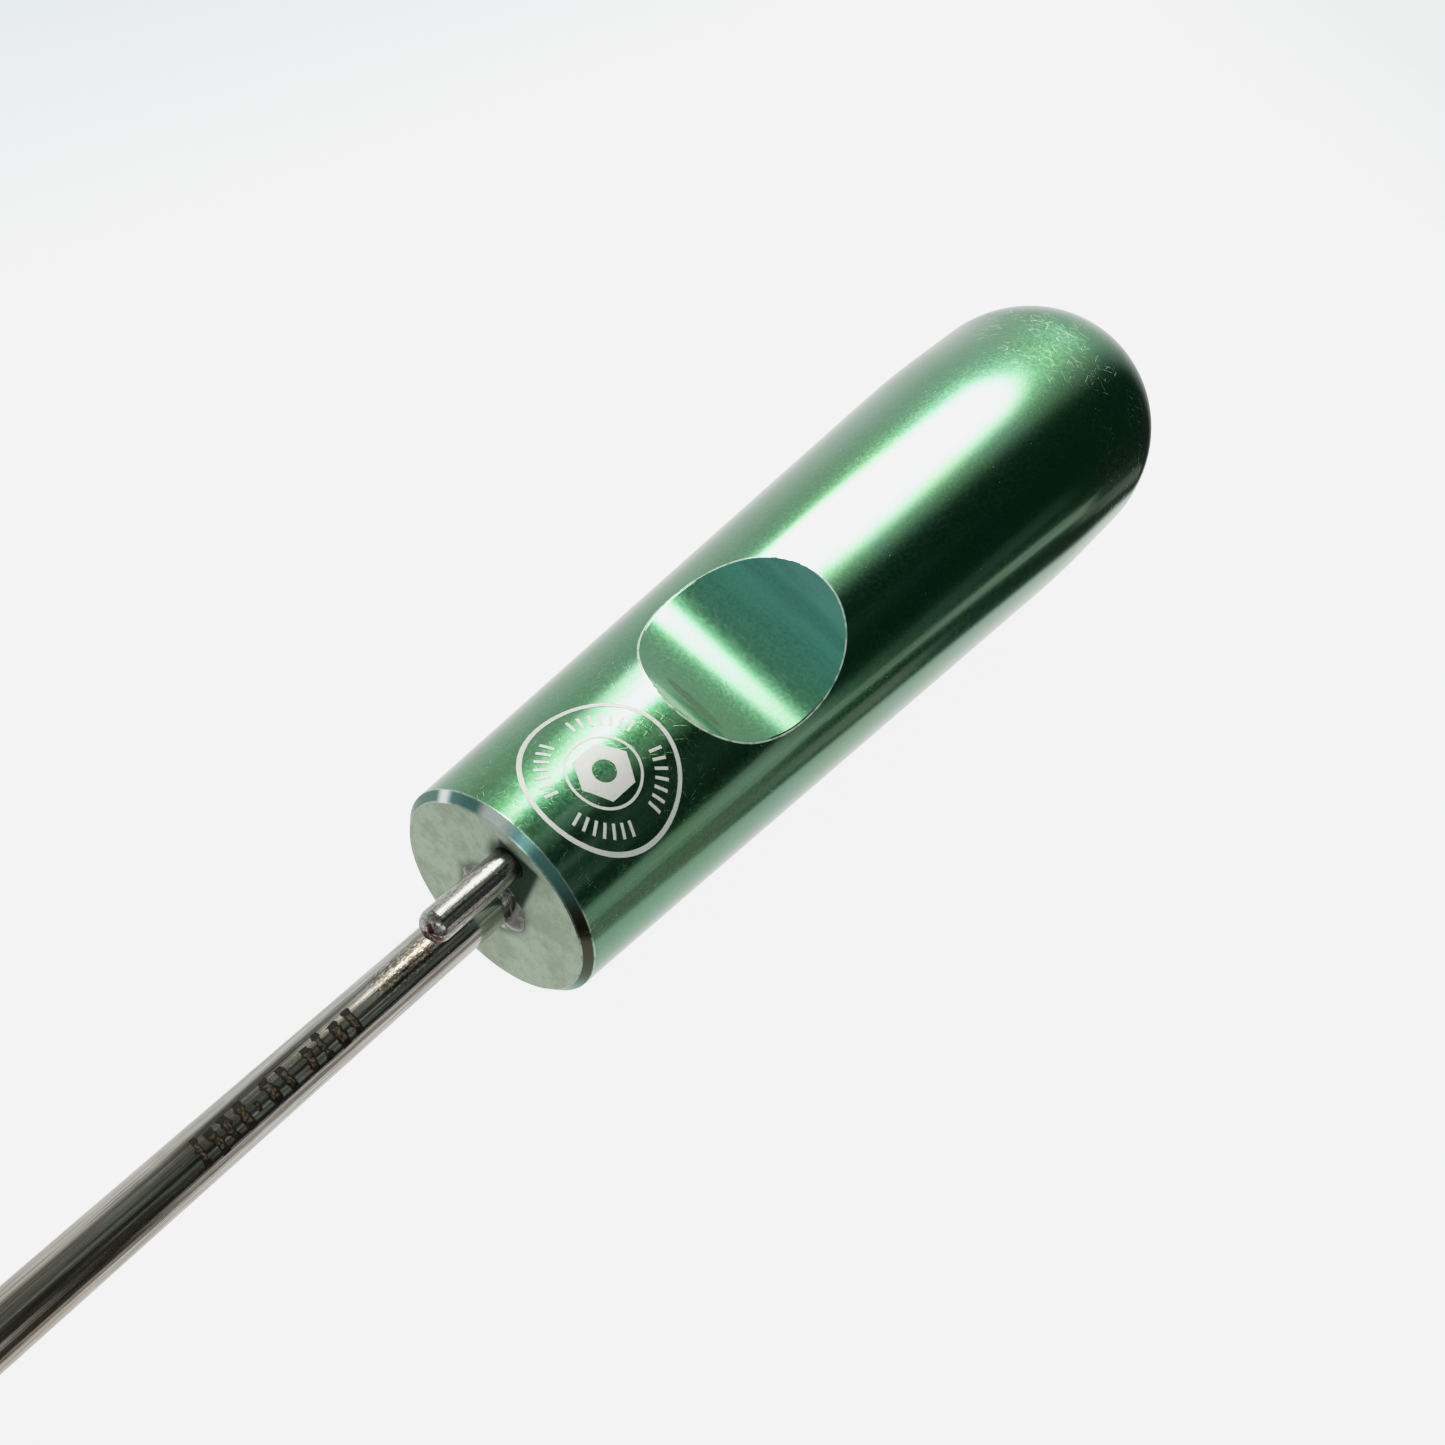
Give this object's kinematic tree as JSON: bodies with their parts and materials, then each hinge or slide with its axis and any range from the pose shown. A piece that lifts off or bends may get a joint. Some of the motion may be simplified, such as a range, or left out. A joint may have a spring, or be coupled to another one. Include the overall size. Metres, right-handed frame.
{
  "type": "cannula introducer with palm handle",
  "caption": "Turned palm handle with a thumb scallop, carrying a blunt round shaft on its axis and a short alignment pin beside it.",
  "frame": {"origin": "centre of the handle's front face, on the shaft's axis", "axes": "+X along the shaft towards its tip, +Z through the thumb scallop and the alignment pin, handle on the -X side"},
  "size_m": [0.2425, 0.0328, 0.0328],
  "materials": {
    "anodised_handle": "polished and dyed green",
    "polished_steel": "polished",
    "cured_adhesive": "glossy"
  },
  "bodies": {
    "root": {"handle": "anodised_handle", "shaft": "polished_steel", "alignment_pin": "polished_steel", "shaft_bond": "cured_adhesive"}
  },
  "joints": []
}
